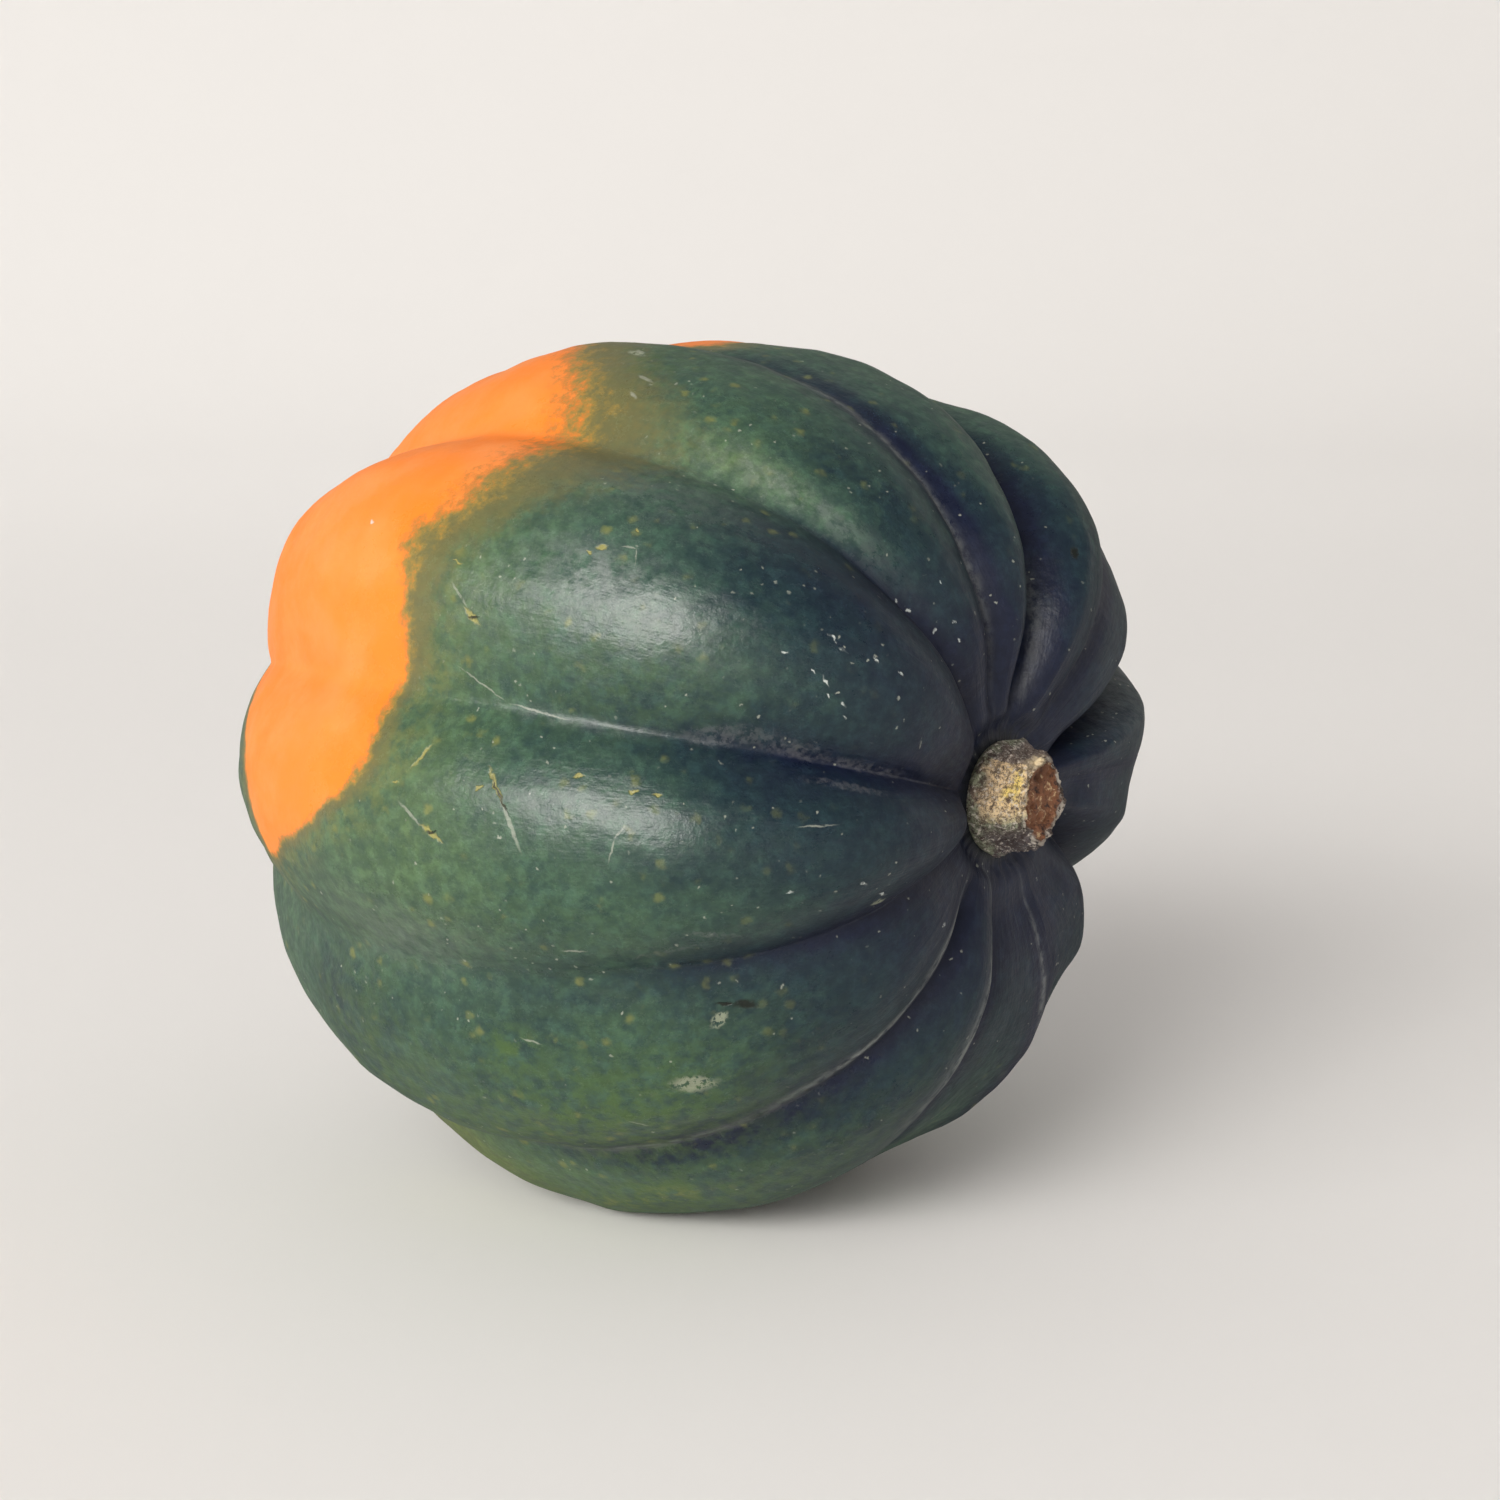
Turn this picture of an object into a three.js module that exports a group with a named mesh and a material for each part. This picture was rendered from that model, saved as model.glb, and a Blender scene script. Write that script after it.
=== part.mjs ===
// Acorn squash, cut from its vine and lying on its side. Millimetres, +Z up.
// The fruit's own axis is level and runs along X: the stem end is at +X, the blossom end at -X.
// The fruit is one grown body with twelve ribs. The cut stem stub stands in its hollow.

import * as THREE from 'three';
import { mergeVertices } from 'three/addons/utils/BufferGeometryUtils.js';

const { degToRad, radToDeg, smoothstep } = THREE.MathUtils;

// Long section over the crests of the ribs: two superellipse halves that meet at the widest ring.
// A squareness of 2 is an ellipse, more is boxier, less is more pointed.
const crestRadius = 60;
const stemHalf = 60;
const stemSquareness = 2.15;
const blossomHalf = 65;
const blossomSquareness = 1.8;

// The hollow that the stem stands in.
const hollowDepth = 13;
const hollowRadius = 21;

// The fruit grew a little bent: how far each end lies off the axis, in Y and in Z.
const stemEndShift = [0, 2];
const blossomEndShift = [3, 3];

// The underside, pressed flat where the fruit lay as it grew, and how softly that flat begins.
const undersideDepth = 55.4;
const undersideSoftness = 0.4;

// Grooves between the ribs: an even depth along the waist, and more on the stem shoulder.
// Places along the section are in degrees from the stem end.
const waistGroove = 4.5;
const shoulderGroove = 2.6;
const shoulderGrooveAt = 28;
const shoulderGrooveSpread = 17;
const ribTwist = 2; // degrees that the ribs turn between the waist and each end
const bendSpread = 35; // how far from the stem end each groove's own bend reaches

// Where along the section a rib's two rises act, and how far they spread.
const shoulderAt = 40;
const shoulderSpread = 35;
const waistAt = 105;
const waistSpread = 45;

// The ribs, each with the groove before it. A groove's angle is in degrees about the axis, from
// +Y over the top, +Z, and its bend is how far that angle changes at the stem. Its depth is
// against the usual. The rises of the crest are in mm.
const ribs = [
  { groove: 126, bend: -2.5, depth: 0.8, shoulder: -2, waist: -1 },
  { groove: 98, bend: 4, depth: 0.9, shoulder: -1.5, waist: -4 },
  { groove: 69, bend: 12, depth: 1.8, shoulder: 1, waist: -5 },
  { groove: 45, bend: 2.5, depth: 0.4, shoulder: -1.5, waist: 2.5 },
  { groove: 21, bend: -7.5, depth: 2, shoulder: -1.5, waist: -0.5 },
  { groove: -1, bend: 0.5, depth: 0.45, shoulder: -3.5, waist: -1.5 },
  { groove: -29, bend: 7, depth: 2.15, shoulder: -4.5, waist: -1.5 },
  { groove: -76, bend: 13, depth: 0.55, shoulder: -4, waist: -2.5 },
  { groove: -99, bend: -1, depth: 0.95, shoulder: -0.5, waist: 0 },
  { groove: -132.5, bend: 4.5, depth: 0.7, shoulder: -1, waist: 1.5 },
  { groove: -164, bend: 1, depth: 0.45, shoulder: 3.5, waist: 2.5 },
  { groove: -197, bend: 2, depth: 0.4, shoulder: 2, waist: 3 },
];

// The ribs fade out where they run into the stem seat and into the blossom tip.
const stemFade = [7.5, 15]; // mm from the axis
const blossomFade = [0, 18];

// The stem: a corky five-cornered stub, flared at its foot and cut across at its top.
const seatGap = 0.3; // between the fruit and the foot of the stem
const stemHeight = 8; // bottom of the hollow to the cut
const footRadius = 7.2;
const waistRadius = 5.9;
const cutRadius = 5;
const cutHollow = 0.8; // how far the cut face is sunk inside its rim
const cutTilt = 6; // degrees that the cut leans
const stemCorners = 5;
const cornerHeight = 0.07; // of the radius

// Facets
const stepsPerRib = 6; // even, so that each crest and each groove has a line of corners
const ringCount = 38;
const ringCrowding = 1.3; // above 1 draws the rings together towards the stem, where the hollow is
const stemSteps = 30;

const bell = (x, centre, spread) => Math.exp(-(((x - centre) / spread) ** 2));

// Distance from the axis and place along it, at angle u from the stem end of the long section.
function section(u) {
  const across = Math.sin(u);
  const along = Math.cos(u);
  const half = along >= 0 ? stemHalf : blossomHalf;
  const power = along >= 0 ? stemSquareness : blossomSquareness;
  const sum = (across / crestRadius) ** power + (Math.abs(along) / half) ** power;
  const reach = sum ** (-1 / power);
  const radius = reach * across;
  const sunk = along > 0 ? hollowDepth * bell(radius, 0, hollowRadius) : 0;
  return { radius, x: reach * along - sunk };
}

// The section's outward direction at u, from two points close by.
function sectionNormal(u) {
  const step = 1e-4;
  const before = section(Math.max(u - step, 0));
  const after = section(Math.min(u + step, Math.PI));
  const dRadius = after.radius - before.radius;
  const dX = after.x - before.x;
  const length = Math.hypot(dRadius, dX);
  return { radius: -dX / length, x: dRadius / length };
}

// How far the skin stands off the long section: up on a rib's crest, down in its grooves.
// across is -1 at the groove before the rib, 0 on its crest and 1 at the groove after it.
function ribOffset(u, rib, next, across) {
  const degrees = radToDeg(u);
  const valley = across * across;
  const groove = across < 0 ? rib.depth : next.depth;
  const depth =
    waistGroove * Math.sqrt(Math.sin(u)) +
    shoulderGroove * bell(degrees, shoulderGrooveAt, shoulderGrooveSpread);
  const rise =
    rib.shoulder * bell(degrees, shoulderAt, shoulderSpread) +
    rib.waist * bell(degrees, waistAt, waistSpread);
  const fade = u < Math.PI / 2 ? stemFade : blossomFade;
  const shown = smoothstep(section(u).radius, fade[0], fade[1]);
  return (rise * (1 - valley) - depth * groove * valley) * shown;
}

// Nothing hangs below the pressed underside: a soft maximum of the height and that level.
function pressFlat(z) {
  const over = (z + undersideDepth) / undersideSoftness;
  return over > 30 ? z : undersideSoftness * Math.log1p(Math.exp(over)) - undersideDepth;
}

// The bend of the fruit, which grows with the square of the distance from the widest ring.
function endShift(x) {
  const shift = x > 0 ? stemEndShift : blossomEndShift;
  const part = (x / (x > 0 ? stemHalf : blossomHalf)) ** 2;
  return [shift[0] * part, shift[1] * part];
}

// Degrees about the axis at a place across a rib, between the grooves on its two sides.
function skinTurn(u, rib, next, across) {
  const bent = bell(radToDeg(u), 0, bendSpread);
  const lap = next.groove > rib.groove ? 360 : 0;
  const start = rib.groove + rib.bend * bent;
  const end = next.groove - lap + next.bend * bent;
  return (start + end) / 2 + ((end - start) / 2) * across + ribTwist * Math.cos(u);
}

function skinPoint(u, ribIndex, across) {
  const rib = ribs[ribIndex];
  const next = ribs[(ribIndex + 1) % ribs.length];
  const turn = skinTurn(u, rib, next, across);
  const { radius, x } = section(u);
  const normal = sectionNormal(u);
  const offset = ribOffset(u, rib, next, across);
  const away = Math.max(radius + offset * normal.radius, 0);
  const along = x + offset * normal.x;
  const [shiftY, shiftZ] = endShift(along);
  const y = away * Math.cos(degToRad(turn)) + shiftY;
  const z = away * Math.sin(degToRad(turn)) + shiftZ;
  return [along, y, pressFlat(z)];
}

// A closed skin over a stack of rings, with its first and last ring drawn in to one point each.
function skinOfRings(rings) {
  const count = rings[0].length;
  const positions = rings.flat(2);
  const indices = [];
  for (let ring = 0; ring < rings.length - 1; ring += 1) {
    for (let step = 0; step < count; step += 1) {
      const a = ring * count + step;
      const b = ring * count + ((step + 1) % count);
      if (ring < rings.length - 2) indices.push(a, b + count, a + count);
      if (ring > 0) indices.push(a, b, b + count);
    }
  }
  const geometry = new THREE.BufferGeometry();
  geometry.setAttribute('position', new THREE.Float32BufferAttribute(positions, 3));
  geometry.setIndex(indices);
  const merged = mergeVertices(geometry, 1e-4);
  merged.computeVertexNormals();
  return merged;
}

function makeFruit() {
  const rings = [];
  for (let ring = 0; ring <= ringCount; ring += 1) {
    const u = Math.PI * (ring / ringCount) ** ringCrowding;
    const points = [];
    for (let rib = 0; rib < ribs.length; rib += 1) {
      for (let step = 0; step < stepsPerRib; step += 1) {
        points.push(skinPoint(u, rib, (2 * step) / stepsPerRib - 1));
      }
    }
    rings.push(points);
  }
  const rind = new THREE.MeshStandardMaterial({ color: 0x2f4a3c, roughness: 0.45, metalness: 0 });
  const fruit = new THREE.Mesh(skinOfRings(rings), rind);
  fruit.name = 'fruit';
  return fruit;
}

// The floor of the hollow, at a distance from the axis.
function hollowFloor(radius) {
  const dome = (1 - (radius / crestRadius) ** stemSquareness) ** (1 / stemSquareness);
  return stemHalf * dome - hollowDepth * bell(radius, 0, hollowRadius);
}

// One ring of the stem: its radius, with the five corners, and its place along X.
function stemRing(radius, x, tilt, corners) {
  const points = [];
  for (let step = 0; step < stemSteps; step += 1) {
    const turn = (-2 * Math.PI * step) / stemSteps;
    const away = radius * (1 + corners * Math.cos(stemCorners * turn));
    const lean = Math.tan(degToRad(tilt)) * away * Math.sin(turn);
    points.push([x + lean, away * Math.cos(turn), away * Math.sin(turn)]);
  }
  return points;
}

function makeStem() {
  const foot = (radius) => hollowFloor(radius) + seatGap;
  const cut = hollowFloor(0) + stemHeight;
  const side = (part) => foot(footRadius) + part * (cut - foot(footRadius));
  const rings = [
    stemRing(0, cut - cutHollow, 0, 0),
    stemRing(cutRadius * 0.5, cut - cutHollow, cutTilt, 0),
    stemRing(cutRadius * 0.85, cut - cutHollow * 0.5, cutTilt, cornerHeight),
    stemRing(cutRadius, cut, cutTilt, cornerHeight),
    stemRing(cutRadius * 1.06, side(0.85), cutTilt, cornerHeight),
    stemRing(waistRadius, side(0.5), cutTilt / 2, cornerHeight),
    stemRing(waistRadius * 1.07, side(0.25), 0, cornerHeight / 2),
    stemRing(footRadius, side(0.05), 0, 0),
    stemRing(footRadius, foot(footRadius), 0, 0),
    stemRing(footRadius * 0.7, foot(footRadius * 0.7), 0, 0),
    stemRing(footRadius * 0.35, foot(footRadius * 0.35), 0, 0),
    stemRing(0, foot(0), 0, 0),
  ];
  const cork = new THREE.MeshStandardMaterial({ color: 0xa08a5c, roughness: 0.9, metalness: 0 });
  const stem = new THREE.Mesh(skinOfRings(rings), cork);
  const [shiftY, shiftZ] = endShift(hollowFloor(0));
  stem.position.set(0, shiftY, shiftZ);
  stem.name = 'stem';
  return stem;
}

// The origin is under the middle of the whole part, on the surface that it lies on.
const squash = new THREE.Group();
squash.add(makeFruit(), makeStem());
const extent = new THREE.Box3().setFromObject(squash, true);
const middle = extent.getCenter(new THREE.Vector3());
squash.position.set(-middle.x, -middle.y, -extent.min.z);

const group = new THREE.Group();
group.add(squash);

export default group;
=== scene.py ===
"""Looks of a whole acorn squash that lies on its side on a pale floor.

The shape's own numbers are in millimetres, and those of the long section and of the ribs are the
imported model's. They become metres where a surface is made into a mesh. The fruit's axis is level
and runs along X, with the stem end at +X.
"""

import math

import bpy
import numpy as np
from mathutils import Matrix, Vector


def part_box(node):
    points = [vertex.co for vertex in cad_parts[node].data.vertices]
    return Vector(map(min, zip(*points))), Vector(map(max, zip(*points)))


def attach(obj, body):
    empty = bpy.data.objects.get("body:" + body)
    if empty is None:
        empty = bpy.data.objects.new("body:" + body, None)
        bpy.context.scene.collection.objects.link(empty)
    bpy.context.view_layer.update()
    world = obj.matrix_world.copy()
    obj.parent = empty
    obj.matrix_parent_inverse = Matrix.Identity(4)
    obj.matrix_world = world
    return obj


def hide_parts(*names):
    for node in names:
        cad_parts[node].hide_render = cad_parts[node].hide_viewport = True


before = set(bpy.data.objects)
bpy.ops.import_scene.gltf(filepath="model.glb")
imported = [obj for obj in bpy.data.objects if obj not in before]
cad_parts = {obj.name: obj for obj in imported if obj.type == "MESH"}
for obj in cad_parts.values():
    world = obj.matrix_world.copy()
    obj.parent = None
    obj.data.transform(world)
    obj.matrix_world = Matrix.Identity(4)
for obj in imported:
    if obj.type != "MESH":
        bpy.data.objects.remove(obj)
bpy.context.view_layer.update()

MM = 0.001

# ---- the fruit's shape, in millimetres

# Long section over the crests of the ribs: two superellipse halves that meet at the widest ring.
CREST_RADIUS = 60
STEM_HALF = 60
STEM_SQUARENESS = 2.15
BLOSSOM_HALF = 65
BLOSSOM_SQUARENESS = 1.8
# The stem's hollow, the bend of each end in Y and Z, and the pressed underside.
HOLLOW_DEPTH = 13
HOLLOW_RADIUS = 21
STEM_END_SHIFT = (0, 2)
BLOSSOM_END_SHIFT = (3, 3)
UNDERSIDE_DEPTH = 55.4
UNDERSIDE_SOFTNESS = 0.4
# The usual groove, and where along the section, in degrees from the stem end, things happen.
WAIST_GROOVE = 4.5
SHOULDER_GROOVE = 2.6
SHOULDER_GROOVE_AT = 28
SHOULDER_GROOVE_SPREAD = 17
RIB_TWIST = 2
BEND_SPREAD = 35
SHOULDER_AT, SHOULDER_SPREAD = 40, 35
WAIST_AT, WAIST_SPREAD = 105, 45
# The ribs fade out at the two ends between these distances from the axis.
STEM_FADE = (7.5, 15)
BLOSSOM_FADE = (0, 18)

# Each rib: the angle of the groove before it, how far that groove bends at the stem, its depth
# against the usual, and how far the rib's crest rises at the shoulder and at the waist.
RIBS = np.array([
    (126, -2.5, 0.8, -2, -1),
    (98, 4, 0.9, -1.5, -4),
    (69, 12, 1.8, 1, -5),
    (45, 2.5, 0.4, -1.5, 2.5),
    (21, -7.5, 2, -1.5, -0.5),
    (-1, 0.5, 0.45, -3.5, -1.5),
    (-29, 7, 2.15, -4.5, -1.5),
    (-76, 13, 0.55, -4, -2.5),
    (-99, -1, 0.95, -0.5, 0),
    (-132.5, 4.5, 0.7, -1, 1.5),
    (-164, 1, 0.45, 3.5, 2.5),
    (-197, 2, 0.4, 2, 3),
])

# The ribs by their row in RIBS: from the top over the far side, underneath and up the near side.
(TOP, TOP_BACK, FAR_TOP, FAR_UPPER, FAR, FAR_LOW, FAR_UNDER, UNDER,
 LOWEST, LOW, FRONT, UPPER) = range(len(RIBS))

# How far the bottom of each rib's groove is rounded at the waist, as a part of a rib. The grooves
# are crisp at both ends of the fruit: the rounding falls as a power of sin u.
FOLD_ROUNDING = np.full(len(RIBS), 0.04)
FOLD_ROUNDING[[TOP, LOW, FRONT, UPPER]] = 0.14, 0.03, 0.30, 0.18
FOLD_ROUNDING_POWER = 5
CRISP_FOLD = 0.012

# Fineness of the skin
RINGS = 208
RING_CROWDING = 1.15
STEPS_PER_RIB = 38

# The orange ground patch. Its two edges, towards the stem and towards the blossom, each as
# (degrees about the axis, degrees from the stem end along the section).
PATCH_STEM_EDGE = np.array([
    (52, 122), (62, 106), (70, 98), (78, 92), (86, 85), (94, 85), (99, 92), (105, 97), (111, 94),
    (119, 86), (127, 83), (134, 84), (141, 85.5), (147, 89.5), (156, 89), (161, 89), (164, 91),
    (169, 90), (174, 92), (179, 98), (183, 105), (190, 116),
])
PATCH_BLOSSOM_EDGE = np.array([
    (52, 118), (60, 128), (72, 140), (88, 150), (105, 156), (125, 158), (142, 152), (156, 143),
    (166, 134), (172, 126), (176, 121), (182, 118), (190, 112),
])
MM_PER_DEGREE = 1.05

# The edge of the patch is crisp except on the upper ribs, where orange runs out over several mm.
PATCH_BLUR, PATCH_BLUR_TOP = 0.7, 3.2
PATCH_BLUR_TURN, PATCH_BLUR_SPREAD = 122, 24

# Soft lumps of the skin: height and length in mm, number of waves and seed. They fade in between
# two values of sin u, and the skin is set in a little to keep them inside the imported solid.
SKIN_LUMPS = [(0.22, 17, 40, 1), (0.09, 6.5, 60, 2), (0.025, 2.6, 80, 3)]
LUMPS_FADE = (0.1, 0.3)
SKIN_INSET = 0.13

# The pleated crease round the foot of the stem. The pleats' spacing wanders a few times a turn.
CREASE_RADIUS, CREASE_DEPTH, CREASE_SPREAD = 8.4, 0.9, 1.5
PLEATS, PLEAT_DEPTH = 31, 0.12
PLEAT_WANDERS, PLEAT_WANDER = 5, 2

# The sunk ring at the blossom scar and the low button in it, each between two distances from the
# axis, then its height in mm.
SCAR_RING = (4.0, 3.2, -0.5)
SCAR_BUTTON = (2.6, 1.2, 0.35)

# Shallow dents: degrees from the stem end, rib, place across it, width and depth in mm. A depth
# below 0 is a low rise.
DENTS = [
    (49, LOW, 0.5, 2.2, 0.5),
    (56, LOW, -0.1, 3.0, 0.25),
    (32, FAR_TOP, -0.28, 1.6, 0.5),
    (88, LOWEST, 0.2, 5.0, 0.4),
    (70, FAR, 0.1, 6.0, 0.5),
    (112, FAR_UNDER, -0.3, 5.0, 0.4),
    (95, FAR_TOP, 0.4, 6.0, 0.4),
    (36, FAR_UNDER, 0.52, 2.3, 1.2),
    (35, FAR_UNDER, -0.05, 3.4, -0.6),
    (38, UNDER, -0.70, 3.0, -0.4),
]

# Soft patches on the skin: degrees from the stem end, rib, place across it, spread in degrees along
# the section, spread in degrees about the axis, amount.
# Tones make the green riper, or deeper where the amount is below 0. The deeper ones beside the
# folds and on the upper flank of UPPER are painted shade, and the strong one on TOP beside its
# lower fold is a painted highlight.
TONES_AND_SHADING = [
    (68, UPPER, 0.66, 15, 7, 0.15),
    (54, UPPER, 0.62, 12, 7, -0.04),
    (42, UPPER, 0.38, 11, 8, -0.25),
    (46, UPPER, -0.55, 11, 8, 0.15),
    (42, FRONT, 0.80, 13, 4, -0.10),
    (52, FRONT, -0.05, 16, 3, -0.12),
    (60, LOW, 0.85, 28, 6, -0.15),
    (58, TOP, -0.80, 16, 5, 0.95),
    (56, FRONT, -0.3, 18, 12, 0.30),
    (60, UPPER, -0.3, 18, 14, 0.08),
    (88, LOW, -0.35, 16, 12, -0.25),
    (62, LOW, 0.05, 14, 10, 0.22),
    (104, LOWEST, 0.50, 14, 9, 1.3),
    (80, LOWEST, 0.60, 12, 6, 0.12),
    (66, LOWEST, 0.97, 28, 4, -0.60),
    (100, LOW, 0.6, 20, 8, -0.25),
    (82, FRONT, 0.3, 9, 12, 0.35),
    (82, UPPER, -0.4, 8, 12, 0.35),
    (40, TOP_BACK, 0.1, 26, 6, 0.30),
    (45, FAR_TOP, 0.1, 22, 7, 0.20),
    (50, TOP_BACK, -0.92, 34, 3, -0.42),
    (50, FAR_TOP, -0.92, 34, 3, -0.40),
    (45, FAR_UPPER, -0.90, 30, 4, -0.30),
    (44, UNDER, 0.92, 26, 3, -0.50),
    (42, FAR_UNDER, 0.94, 24, 3, -0.50),
    (102, LOW, 0.3, 12, 12, -0.42),
    (48, UNDER, 0, 16, 8, 0.25),
    (48, FAR_UNDER, 0, 16, 8, 0.25),
    (30, FRONT, -0.97, 14, 3, -0.25),
    (50, TOP, 0.55, 24, 5, 0.15),
]
# Hazes are partly dull waxy bloom and partly painted highlights: on the lit crests, as light edges
# along the folds, and as sheen on the far ribs.
WAX_AND_HIGHLIGHTS = [
    (62, UPPER, -0.22, 8, 3.6, 0.22),
    (67, UPPER, -0.06, 6, 3.0, 0.20),
    (56, UPPER, -0.36, 5, 2.6, 0.16),
    (68, UPPER, 0.70, 14, 7, 0.12),
    (63, FRONT, 0.40, 10, 1.5, 0.26),
    (54, TOP, -0.72, 14, 2.5, 0.22),
    (76, UPPER, -0.35, 8, 6, 0.10),
    (65, FRONT, 0.97, 7, 0.6, 0.20),
    (76, LOW, -0.94, 26, 1.0, 0.55),
    (88, FRONT, -0.75, 12, 4, 0.16),
    (34, LOW, -0.78, 14, 1.4, 0.60),
    (20, LOW, -0.56, 7, 2.0, 0.60),
    (98, LOW, -0.90, 12, 1.3, 0.50),
    (27, LOWEST, -0.34, 17, 2.6, 0.60),
    (40, FAR_UPPER, 0, 16, 12, 0.13),
    (40, FAR, 0, 16, 12, 0.15),
    (44, FAR_LOW, 0, 16, 10, 0.08),
    (28, UNDER, -0.88, 16, 1.0, 0.40),
    (26, FAR_UNDER, -0.90, 12, 1.2, 0.40),
    (50, TOP, 0.93, 26, 0.9, 0.42),
    (45, TOP_BACK, 0.92, 26, 0.9, 0.40),
    (45, FAR_TOP, 0.90, 26, 1.2, 0.22),
]
# Freshes are a brighter grass green.
FRESHES = [
    (78, LOW, -0.5, 22, 12, 0.9),
    (62, LOW, -0.2, 16, 14, 0.5),
    (75, LOWEST, 0.1, 30, 8, 0.9),
    (100, LOW, 0.3, 12, 14, 0.5),
    (84, UPPER, -0.3, 10, 14, 0.5),
    (84, FRONT, 0.2, 12, 14, 0.35),
    (64, FRONT, -0.4, 16, 10, 0.25),
    (62, UPPER, -0.7, 14, 8, 0.4),
    (62, TOP, -0.2, 18, 10, 0.2),
    (84, TOP, -0.3, 8, 14, 0.8),
    (98, LOWEST, 0.3, 14, 10, 0.5),
    (71, LOWEST, 0.40, 6, 3.5, 1.0),
    (83, LOWEST, 0.28, 9, 3, 0.9),
    (76, LOW, 0.45, 3, 3, 0.7),
]

# Marks on the skin, each from one place to another, both as degrees, rib and place across it, and
# then a width in mm. Pale ones are dry scratches, but the first two, along the fold between UPPER
# and
# FRONT, are partly a dry scratch and partly a painted highlight on the fold's edge; gold ones fresh
# scars, dark ones slits and pits, corky ones rubbed streaks, chalky ones dry specks, and scabs
# rough dull crusts.
MARK_DEPTH = 2.0  # how deep under the skin and above it a mark reaches, in mm
PALE_MARKS_AND_FOLD_HIGHLIGHT = [
    (81, UPPER, -0.80, 74, UPPER, -0.97, 0.26),
    (74, UPPER, -0.97, 66, FRONT, 0.98, 0.30),
    (82.6, UPPER, -0.35, 80.0, UPPER, -0.47, 0.40),
    (71.8, FRONT, 0.43, 68.6, FRONT, 0.05, 0.60),
    (84.2, FRONT, 0.27, 80.8, FRONT, 0.14, 0.48),
    (66.3, FRONT, -0.69, 63.2, FRONT, -0.70, 0.36),
    (59.4, FRONT, 0.03, 58.9, FRONT, 0.20, 0.32),
    (58.9, FRONT, 0.20, 57.6, FRONT, 0.30, 0.32),
    (40.8, FRONT, 0.34, 36.5, FRONT, 0.36, 0.28),
    (25.6, UPPER, -0.49, 25.0, UPPER, -0.62, 0.28),
    (84.5, TOP, 0.26, 83.0, TOP, 0.20, 0.88),
    (79.5, TOP, -0.17, 77.0, TOP, -0.22, 0.64),
    (78.5, TOP, -0.40, 77.2, TOP, -0.46, 0.56),
    (64.8, UPPER, 0.10, 63.2, UPPER, 0.11, 0.24),
    (63.2, UPPER, 0.11, 62.6, UPPER, 0.00, 0.24),
    (74.0, LOW, 0.55, 71.5, LOW, 0.50, 0.32),
    (66.0, LOW, -0.35, 64.0, LOW, -0.50, 0.28),
]
GOLD_MARKS = [
    (80.2, UPPER, -0.48, 78.4, UPPER, -0.55, 0.90),
    (83.2, UPPER, -0.22, 82.0, UPPER, -0.23, 0.38),
    (73.6, FRONT, 0.58, 70.9, FRONT, 0.34, 0.68),
    (81.0, FRONT, 0.15, 78.0, FRONT, 0.06, 0.68),
    (83.2, FRONT, 0.50, 81.5, FRONT, 0.66, 0.60),
    (85.4, FRONT, 0.38, 84.8, FRONT, 0.39, 0.52),
    (74.5, FRONT, 0.43, 74.0, FRONT, 0.44, 0.60),
    (63.6, FRONT, 0.60, 63.0, FRONT, 0.61, 0.68),
    (57.7, FRONT, 0.53, 57.0, FRONT, 0.54, 0.60),
    (55.1, FRONT, 0.53, 54.7, FRONT, 0.53, 0.52),
    (67.0, UPPER, 0.05, 66.4, UPPER, 0.06, 0.75),
    (64.3, UPPER, 0.24, 63.8, UPPER, 0.24, 0.52),
    (68.0, UPPER, 0.01, 67.6, UPPER, 0.00, 0.45),
]
DARK_MARKS = [
    (73.2, FRONT, 0.54, 70.2, FRONT, 0.28, 0.38),
    (79.7, UPPER, -0.52, 78.4, UPPER, -0.52, 0.45),
    (48.6, LOW, 0.57, 47.0, LOW, 0.53, 1.5),
    (51.0, LOW, 0.64, 48.9, LOW, 0.60, 0.5),
    (32.4, FAR_TOP, -0.28, 31.0, FAR_TOP, -0.30, 1.1),
    (80.2, FRONT, 0.10, 78.8, FRONT, 0.12, 0.3),
]
CORK_MARKS = [
    (53.0, UPPER, -0.99, 44.5, UPPER, -0.86, 3.0),
    (47.0, UPPER, -0.90, 35.5, UPPER, -0.95, 2.4),
    (38.0, UPPER, -0.95, 24.0, UPPER, -0.97, 1.7),
    (40.5, FRONT, 0.80, 28.5, FRONT, 0.72, 1.1),
    (60.0, FRONT, -0.82, 51.0, FRONT, -0.70, 1.0),
    (52.5, FRONT, -0.55, 46.5, FRONT, -0.67, 0.9),
]
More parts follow.
